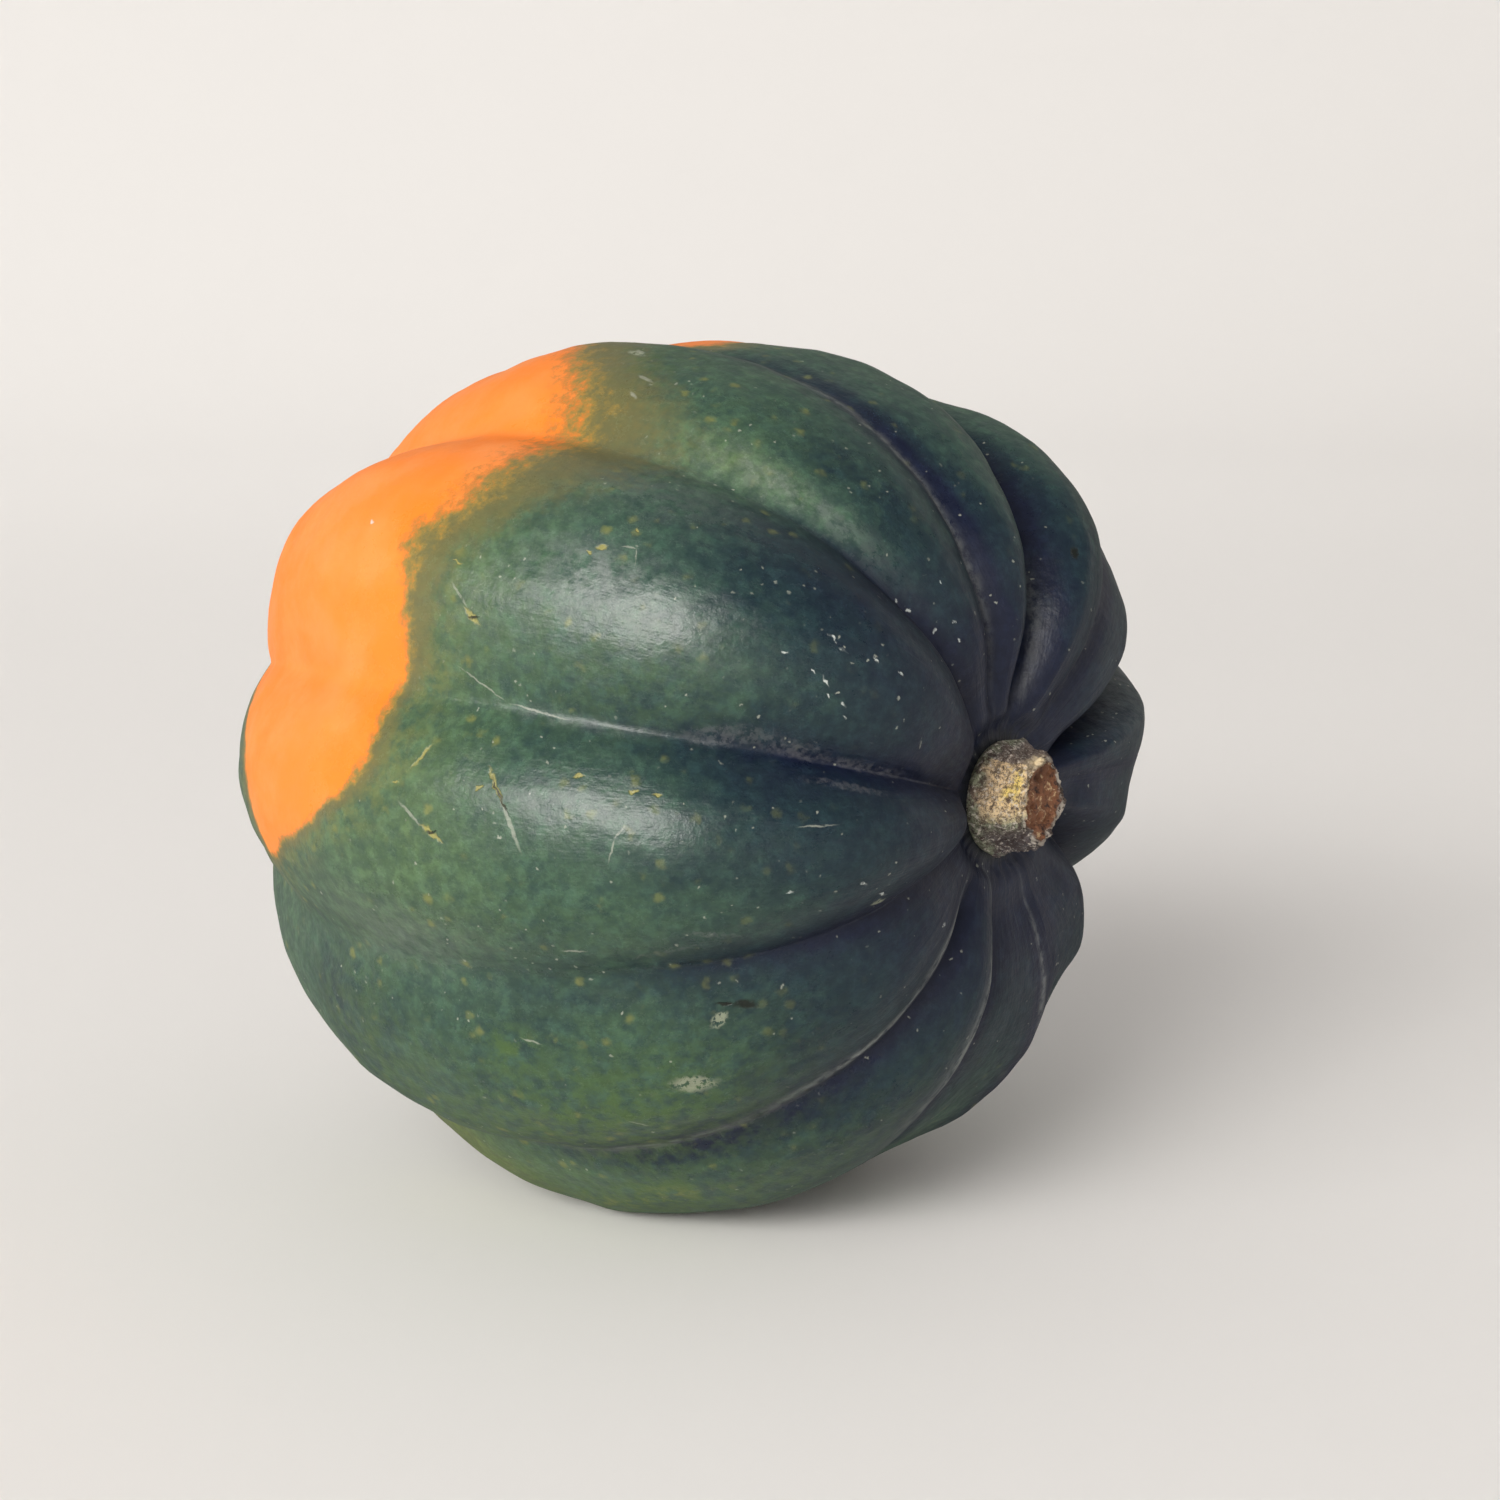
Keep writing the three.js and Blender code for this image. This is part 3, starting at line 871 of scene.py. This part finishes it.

# The greens from the stem to the patch, over a span of degrees along the section. Tones, clouds,
# mottling and the painted shade of the grooves move them by so many degrees.
GREENS = [(0.08, NAVY), (0.24, DEEP_GREEN), (0.40, MID_GREEN), (0.58, SPRING_GREEN),
          (0.80, RIPE_GREEN)]
GREENS_START, GREENS_SPAN = 34, 180
RIPEST_AT = 94.0
TONE_DEGREES, CLOUD_DEGREES, MOTTLE_DEGREES, GROOVE_SHADE_DEGREES = 60.0, 34.0, 34.0, -17.0

# Small light and dark dapples, cool where they darken and warm where they lighten.
DAPPLES = [(0.0, (0.30, 0.33, 0.40)), (0.5, (0.5, 0.5, 0.5)), (1.0, (0.80, 0.82, 0.74))]
DAPPLE_AMOUNT = 0.75

# How far the patch's edge wanders in mm, and how far it frays against its blur.
EDGE_WANDER, EDGE_FRAY = 5.0, 5.5

# How fine the raggedness of a mark's outline is, and how far it moves the outline in metres.
RAGGED_SCALE = 1100.0
RAGGED, SLIGHTLY_RAGGED = 0.0011, 0.0005

# A mark fades in between these two reaches, and this much of its kind's colour shows.
MARK_EDGE = (1.1, 0.45)
CORK_AMOUNT, PALE_AMOUNT, GOLD_AMOUNT, CHALK_AMOUNT, SCAB_AMOUNT, DARK_AMOUNT = (
    0.27, 0.5, 0.75, 0.8, 0.8, 0.9)

# Heights of the finest relief in metres: grain, long streaks, raised dry marks and sunk scars.
GRAIN_HEIGHT, STREAK_HEIGHT, CORK_HEIGHT, SCAR_HEIGHT = 0.00012, 0.0001, 0.00008, -0.00015
STREAK_SCALE = (1, 1, 0.16)
RIND_BUMP = 0.8

# Roughness of the clean skin, what wax, a grazing angle, dry marks and the stem end add to it,
# and how strong the shine is.
CLEAN_ROUGHNESS, WAX_ROUGHNESS, GRAZING_ROUGHNESS = 0.08, 0.34, 0.38
DRY_ROUGHNESS, STEM_END_ROUGHNESS = 0.3, 0.12
RIND_SHINE = 0.26


def green_skin(mix, spot, grain, along, across):
    """The green of the rind: deep blue-green at the stem, fresher towards the blossom, clouded,
    and darkened to navy down in the grooves of the stem half, which is painted shade."""
    cloud = mix.noise(spot, 0.016, 3, 0.55)
    mottle = mix.noise(grain, 2.6, 4, 0.65)
    ripeness = mix.sums("MINIMUM", along, RIPEST_AT)
    # tones: riper or deeper green, with painted shade beside the folds and a painted highlight on
    # TOP
    ripeness = mix.line(mix.attribute("tone"), TONE_DEGREES, ripeness)
    # painted shade: the grooves of the stem half move the green towards navy
    groove = mix.times(mix.rise(across, 0.55, 1.0), mix.rise(along, 95, 45), GROOVE_SHADE_DEGREES)
    ripeness = mix.plus(ripeness, groove, mix.times(cloud, CLOUD_DEGREES))
    ripeness = mix.line(mottle, MOTTLE_DEGREES, ripeness)
    part = mix.line(ripeness, 1 / GREENS_SPAN, -GREENS_START / GREENS_SPAN)
    green = mix.steps(part, GREENS)
    dapple = mix.steps(mix.rise(mix.noise(spot, 0.0017, 5, 0.7), 0.30, 0.70), DAPPLES)
    green = mix.blend(green, dapple, DAPPLE_AMOUNT, way="OVERLAY")
    brush = mix.rise(mix.noise(grain, 2.2, 4, 0.7), 0.36, 0.62)
    fresh = mix.times(mix.attribute("fresh"), brush, 0.75)
    green = mix.blend(green, GRASS_GREEN, mix.sums("MINIMUM", fresh, 0.8))
    green = mix.blend(green, YELLOW_GREEN, mix.rise(fresh, 0.8, 1.6), 0.8)
    # painted shade: the bottoms of the folds in the stem half darken to navy
    crease = mix.times(mix.rise(across, 0.88, 1.0), mix.rise(along, 70, 35), 0.7)
    return mix.blend(green, NAVY, crease)


def speckle(mix, spot, warped, green, along):
    """Yellow-green flecks that thicken towards the patch, and fine pale dots."""
    some = mix.rise(mix.noise(spot, 0.0065, 3, 0.7), 0.47, 0.60)
    fleck = mix.times(mix.rise(mix.spots(warped, 0.0030), 0.32, 0.08), some,
                      mix.rise(along, 25, 75))
    green = mix.blend(green, YELLOW_GREEN, fleck, 0.72)
    some = mix.rise(mix.noise(spot, 0.0045, 2, 0.6), 0.46, 0.62)
    dot = mix.times(mix.rise(mix.spots(warped, 0.0017), 0.14, 0.06), some)
    return mix.blend(green, PALE, dot, 0.65)


def patch_over(mix, spot, grain, green):
    """The orange ground patch, with a ragged edge that is crisp low down and wide on the top.

    Towards the edge the green turns yellow in streaks, then olive, mustard and ochre. The orange
    inside is clouded with apricot and freckled with ochre.
    """
    wander = mix.noise(spot, 0.007, 3, 0.6)
    wander = mix.line(wander, EDGE_WANDER, -EDGE_WANDER / 2)
    inside = mix.plus(mix.attribute("patch"), wander)
    fray = mix.sums("SUBTRACT", mix.noise(grain, 1.5, 5, 0.75), 0.5)
    level = mix.sums("DIVIDE", inside, mix.attribute("blur"))
    level = mix.line(fray, EDGE_FRAY, level)
    brush = mix.rise(mix.noise(grain, 2.4, 4, 0.7), 0.40, 0.62)
    halo = mix.times(mix.rise(inside, -13, -1), brush, 0.55)
    colour = mix.blend(green, YELLOW_GREEN, halo)
    for low, high, amount, tone in ((-5.8, -1.6, 0.84, OLIVE), (-1.9, -0.3, 0.9, MUSTARD),
                                    (-0.8, 0.3, 0.95, OCHRE)):
        colour = mix.blend(colour, tone, mix.rise(level, low, high), amount)
    bloom = mix.rise(mix.noise(spot, 0.008, 3), 0.35, 0.7)
    flesh = mix.blend(ORANGE, APRICOT, bloom, 0.5)
    freckle = mix.rise(mix.noise(spot, 0.0012, 4, 0.7), 0.56, 0.74)
    flesh = mix.blend(flesh, OCHRE, freckle, 0.25)
    return mix.blend(colour, flesh, mix.rise(level, 0.0, 1.3))


def marks_over(mix, warped, place, colour, marks, tone, amount, speckled=None):
    """All the marks of one kind, in one tone: inside where the least of their reaches is below 1.
    Gives back the new colour and how much of the marks shows."""
    least = None
    for mark in marks:
        reach = mix.reach(warped, *mark_frame(mark, place))
        least = reach if least is None else mix.sums("MINIMUM", least, reach)
    shown = mix.times(mix.rise(least, *MARK_EDGE), amount)
    if speckled is not None:
        shown = mix.times(shown, speckled)
    return mix.blend(colour, tone, shown), shown


def rind_material(place):
    """A satin rind: green with flecks, wax bloom and painted highlights, the orange patch, then the
    marks, the scar at the blossom and painted shade in the crease at the stem. Wax, dry marks and
    grazing light dull its gloss."""
    mix = Recipe("rind_satin")
    spot = mix.place()
    grain = mix.attribute("grain", "Vector")
    along = mix.attribute("along")
    scatter = mix.node("TexNoise", [("Vector", spot), ("Scale", RAGGED_SCALE), ("Detail", 3.0)])
    scatter = scatter.outputs["Color"]
    warped = mix.shift(spot, scatter, RAGGED)
    wax = mix.noise(grain, 1.9, 5, 0.72)
    grit = mix.rise(mix.noise(spot, 0.0008, 3, 0.7), 0.38, 0.62)

    green = green_skin(mix, spot, grain, along, mix.attribute("across"))
    green = speckle(mix, spot, warped, green, along)
    # wax bloom and painted highlights: pale grey on the lit crests, along the folds' edges and on
    # far ribs
    wax_and_highlight = mix.times(mix.attribute("wax_and_highlight"), mix.rise(wax, 0.34, 0.62))
    colour = patch_over(mix, spot, grain, mix.blend(green, WAX_AND_HIGHLIGHT_GREY, wax_and_highlight))
    colour, cork = marks_over(mix, warped, place, colour, CORK_MARKS, CORK_GREY, CORK_AMOUNT, grit)
    # pale scratches; the two along the fold between UPPER and FRONT are partly a painted highlight
    colour, _ = marks_over(mix, mix.shift(spot, scatter, SLIGHTLY_RAGGED), place, colour,
                           PALE_MARKS_AND_FOLD_HIGHLIGHT, PALE, PALE_AMOUNT, mix.rise(wax, 0.30, 0.52))
    colour, gold = marks_over(mix, warped, place, colour, GOLD_MARKS, GOLD, GOLD_AMOUNT)
    colour, chalk = marks_over(mix, warped, place, colour, CHALK_MARKS, CHALK, CHALK_AMOUNT,
                               mix.rise(grit, -0.2, 0.8))
    colour, _ = marks_over(mix, warped, place, colour, SCAB_MARKS, SCAB, SCAB_AMOUNT,
                           mix.rise(grit, 0.05, 0.55))
    colour, pit = marks_over(mix, warped, place, colour, DARK_MARKS, PIT, DARK_AMOUNT)
    scar = mix.times(mix.rise(along, 176.4, 177.6), mix.rise(grit, -0.7, 0.7))
    colour = mix.blend(colour, SCAR_TAN, scar)
    # painted shade: the skin round the foot of the stem darkens, as the crease there lies in shade
    colour = mix.blend(colour, PIT, mix.rise(along, 8.5, 6.5), 0.7)

    grazing = mix.node("LayerWeight", [("Blend", 0.5)]).outputs["Facing"]
    roughness = mix.plus(mix.line(wax, WAX_ROUGHNESS, CLEAN_ROUGHNESS),
                         mix.rise(grazing, 0.35, 0.85, 0.0, GRAZING_ROUGHNESS),
                         mix.times(mix.sums("MAXIMUM", cork, chalk), DRY_ROUGHNESS),
                         mix.rise(along, 50, 25, 0.0, STEM_END_ROUGHNESS))

    streaks = mix.node("Mapping", [("Vector", grain), ("Scale", STREAK_SCALE)]).outputs[0]
    streaks = mix.times(mix.noise(streaks, 1.6, 3, 0.6), STREAK_HEIGHT)
    height = mix.times(mix.noise(spot, 0.0011, 3, 0.6), GRAIN_HEIGHT)
    height = mix.plus(height, streaks)
    height = mix.line(cork, CORK_HEIGHT, height)
    height = mix.line(mix.sums("MAXIMUM", pit, gold), SCAR_HEIGHT, height)
    height = mix.times(height, mix.rise(mix.attribute("patch"), -2, 3, 1.0, 0.3))
    mix.shader.inputs["Specular IOR Level"].default_value = RIND_SHINE
    return mix.finish(colour, roughness, height, RIND_BUMP)


# ---- the stem, in linear colours

CORK_TAN = (0.68, 0.50, 0.29)
CORK_CREAM = (0.78, 0.62, 0.38)
CORK_DULL = (0.17, 0.13, 0.105)
CORK_SHADE = (0.085, 0.075, 0.078)
CORK_YELLOW = (0.80, 0.60, 0.14)
CORK_MOSS = (0.24, 0.27, 0.17)
RUST = (0.21, 0.085, 0.040)
RUST_DARK = (0.040, 0.022, 0.018)
BARK_LIGHT = (0.62, 0.56, 0.48)

# Fine speckles of the stem's side: size in metres, detail and roughness of the noise, the two
# values that they show between, amount and colour.
CORK_SPECKLES = [
    (0.0011, 6, 0.85, 0.53, 0.41, 0.85, RUST_DARK),
    (0.0005, 4, 0.8, 0.51, 0.43, 0.7, RUST_DARK),
    (0.0006, 4, 0.75, 0.54, 0.62, 0.68, BARK_LIGHT),
]
CORK_ROUGHNESS, CORK_ROUGHNESS_SPREAD = 0.72, 0.2
CORK_GRAIN_HEIGHT, CORK_BUMP = 0.0006, 0.9


def cork_material():
    """Dry cork: tan on the facet that faces the windows, partly painted light, dull and speckled
    round the sides, with painted shade underneath, rusty and pitted on the cut.
    """
    mix = Recipe("stem_cork")
    spot = mix.place()
    cut = mix.attribute("cut")
    part = mix.attribute("part")
    cloud = mix.noise(spot, 0.0022, 4, 0.65)

    # painted light and shade: the facet facing the windows turns tan and the underside darkens
    lit_front = mix.line(cloud, 0.7, mix.sums("SUBTRACT", mix.attribute("lit_front"), 0.35))
    colour = mix.blend(CORK_DULL, CORK_SHADE, mix.attribute("low"))
    colour = mix.blend(colour, CORK_TAN, mix.rise(lit_front, 0.30, 0.55))
    foot = mix.rise(mix.line(cloud, -0.30, part), 0.23, 0.11)
    colour = mix.blend(colour, CORK_SHADE, foot, 0.85)
    moss = mix.times(mix.sums("MAXIMUM", mix.attribute("under"), mix.rise(part, 0.34, 0.27)), 0.7)
    colour = mix.blend(colour, CORK_MOSS, moss, mix.rise(cloud, 0.36, 0.50))
    gleam = mix.times(mix.rise(lit_front, 0.95, 1.1), mix.window(part, 0.46, 0.54, 0.60, 0.68))
    colour = mix.blend(colour, CORK_YELLOW, gleam, 0.8)
    for size, detail, rough, low, high, amount, tone in CORK_SPECKLES:
        fleck = mix.rise(mix.noise(spot, size, detail, rough), low, high)
        colour = mix.blend(colour, tone, fleck, amount)

    pith = mix.noise(spot, 0.0014, 5, 0.75)
    face = mix.blend(RUST, CORK_TAN, mix.rise(pith, 0.54, 0.66))
    face = mix.blend(face, RUST_DARK, mix.rise(pith, 0.47, 0.38))
    worn = mix.times(mix.attribute("lit_front"), mix.rise(part, 0.86, 0.78))
    colour = mix.blend(colour, face, cut, mix.rise(worn, 0.8, 0.2))
    rim = mix.times(mix.window(part, 0.68, 0.71, 0.73, 0.76), mix.rise(cloud, 0.47, 0.56), 0.8)
    colour = mix.blend(colour, BARK_LIGHT, rim)
    cream = mix.times(mix.attribute("raised"), mix.rise(cloud, 0.35, 0.5))
    colour = mix.blend(colour, CORK_CREAM, cream)
    colour = mix.blend(colour, RUST_DARK, mix.attribute("hole"), 0.9)

    roughness = mix.line(cloud, CORK_ROUGHNESS_SPREAD, CORK_ROUGHNESS)
    height = mix.times(mix.noise(spot, 0.0007, 4, 0.7), CORK_GRAIN_HEIGHT)
    return mix.finish(colour, roughness, height, CORK_BUMP)


# ---- studio, in metres and degrees

# The camera's side and height, and where it stands from the fruit's middle: right, up and back.
CAMERA_AZIMUTH, CAMERA_ELEVATION = 38.46, 10
CAMERA_OFFSET = Vector((0.00679, 0.00187, 0.36685))
LENS, SENSOR_WIDTH = 65.84, 36
CLIP_START, CLIP_END = 0.01, 20

# Each window's side and height as seen from the fruit, distance, width and height, and watts.
WINDOWS = {
    "window": (15, 27, 3.2, (1.45, 1.15), 42),
    "window_glow": (12, 25, 3.25, (3.2, 2.4), 50),
    "side_window": (0, 16, 3.2, (2.6, 1.4), 84),
}
DAYLIGHT = (1, 0.985, 0.96)

# The light on the wall, and how far behind, above and left of the fruit the lit place is.
WALL_WASH = (CAMERA_AZIMUTH, 38, 1.9, (1.8, 0.6), 10.5)
WALL_BEHIND, WALL_ABOVE, WALL_LEFT = 2.6, 0.3, 0.35

# The sweep: a level floor, a quarter circle and a wall.
FLOOR_RINGS = (0.15, 0.4, 0.7)
FLOOR_RADIUS = 1.5
SWEEP_RADIUS = 2.0
WALL_TOP = 2.1
SWEEP_RINGS, SWEEP_STEPS = 25, 96
PAPER = (0.859, 0.840, 0.816)
PAPER_ROUGHNESS, PAPER_SHINE = 0.8, 0.2

ROOM_LIGHT, ROOM_STRENGTH = (0.965, 0.942, 0.945), 0.34


def facing(azimuth, elevation):
    """Axes of a thing that looks at the fruit from that side: its right, its up and its back."""
    sin_a, cos_a = math.sin(math.radians(azimuth)), math.cos(math.radians(azimuth))
    sin_e, cos_e = math.sin(math.radians(elevation)), math.cos(math.radians(elevation))
    right = Vector((cos_a, sin_a, 0))
    up = Vector((-sin_a * sin_e, cos_a * sin_e, cos_e))
    back = Vector((sin_a * cos_e, -cos_a * cos_e, sin_e))
    return Matrix((right, up, back)).transposed()


def stand(name, data, middle, axes, offset):
    """Stands a camera or a light off a place, by an offset along its own axes."""
    thing = bpy.data.objects.new(name, data)
    thing.matrix_world = Matrix.Translation(middle + axes @ offset) @ axes.to_4x4()
    bpy.context.collection.objects.link(thing)
    return thing


def make_camera(middle):
    """The camera, which faces the fruit from its side and height, a little off the middle."""
    data = bpy.data.cameras.new("camera")
    data.lens = LENS
    data.sensor_width = SENSOR_WIDTH
    data.clip_start = CLIP_START
    data.clip_end = CLIP_END
    axes = facing(CAMERA_AZIMUTH, CAMERA_ELEVATION)
    bpy.context.scene.camera = stand("camera", data, middle, axes, CAMERA_OFFSET)


def soft_light(name, middle, azimuth, elevation, distance, size, power):
    """A soft rectangle of daylight that faces a place from a side, a height and a distance."""
    data = bpy.data.lights.new(name, "AREA")
    data.shape = "RECTANGLE"
    data.size, data.size_y = size
    data.energy = power
    data.color = DAYLIGHT
    stand(name, data, middle, facing(azimuth, elevation), Vector((0, 0, distance)))


def make_lights(middle):
    """The windows round the fruit, and the light on the wall behind it."""
    for name, window in WINDOWS.items():
        soft_light(name, middle, *window)
    level = facing(CAMERA_AZIMUTH, 0)
    wall = middle + level @ Vector((-WALL_LEFT, WALL_ABOVE, -WALL_BEHIND))
    soft_light("wall_wash", wall, *WALL_WASH)


def make_sweep():
    """A round pale floor whose edge curves up into a wall: a profile turned about the vertical.

    The profile is level out to the floor's radius, then a quarter circle, then straight up.
    """
    arc = np.linspace(0, np.pi / 2, SWEEP_RINGS)
    out = np.concatenate([FLOOR_RINGS, FLOOR_RADIUS + SWEEP_RADIUS * np.sin(arc),
                          [FLOOR_RADIUS + SWEEP_RADIUS]])
    height = np.concatenate([np.zeros(len(FLOOR_RINGS)), SWEEP_RADIUS * (1 - np.cos(arc)),
                             [WALL_TOP]])
    turn = np.linspace(0, 2 * np.pi, SWEEP_STEPS + 1)[:-1]
    grid = np.stack(np.broadcast_arrays(out[:, None] * np.cos(turn), out[:, None] * np.sin(turn),
                                        height[:, None]), axis=-1)
    index = np.arange(len(out) * SWEEP_STEPS).reshape(-1, SWEEP_STEPS)
    beside = np.roll(index, -1, axis=1)
    quads = np.stack([index[:-1], index[1:], beside[1:], beside[:-1]], axis=-1).reshape(-1, 4)
    sweep = new_piece("sweep", grid.reshape(-1, 3), [index[0].tolist()] + quads.tolist())
    paper = Recipe("paper")
    paper.shader.inputs["Base Color"].default_value = opaque(PAPER)
    paper.shader.inputs["Roughness"].default_value = PAPER_ROUGHNESS
    paper.shader.inputs["Specular IOR Level"].default_value = PAPER_SHINE
    sweep.data.materials.append(paper.material)


def make_world():
    """The light of the room, the same from every side."""
    world = bpy.data.worlds.new("room")
    world.use_nodes = True
    background = world.node_tree.nodes["Background"]
    background.inputs["Color"].default_value = opaque(ROOM_LIGHT)
    background.inputs["Strength"].default_value = ROOM_STRENGTH
    bpy.context.scene.world = world


def set_tone():
    """Colours go to the picture as they are, with no film look."""
    view = bpy.context.scene.view_settings
    view.view_transform = "Standard"
    view.look = "None"
    view.exposure = 0
    view.gamma = 1


rind, place = make_rind()
rind.data.materials.append(rind_material(place))
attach(rind, "root")
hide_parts("fruit")

stem = make_stem(place)
stem.data.materials.append(cork_material())
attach(stem, "root")
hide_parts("stem")

middle = Vector(place)
make_camera(middle)
make_lights(middle)
make_sweep()
make_world()
set_tone()
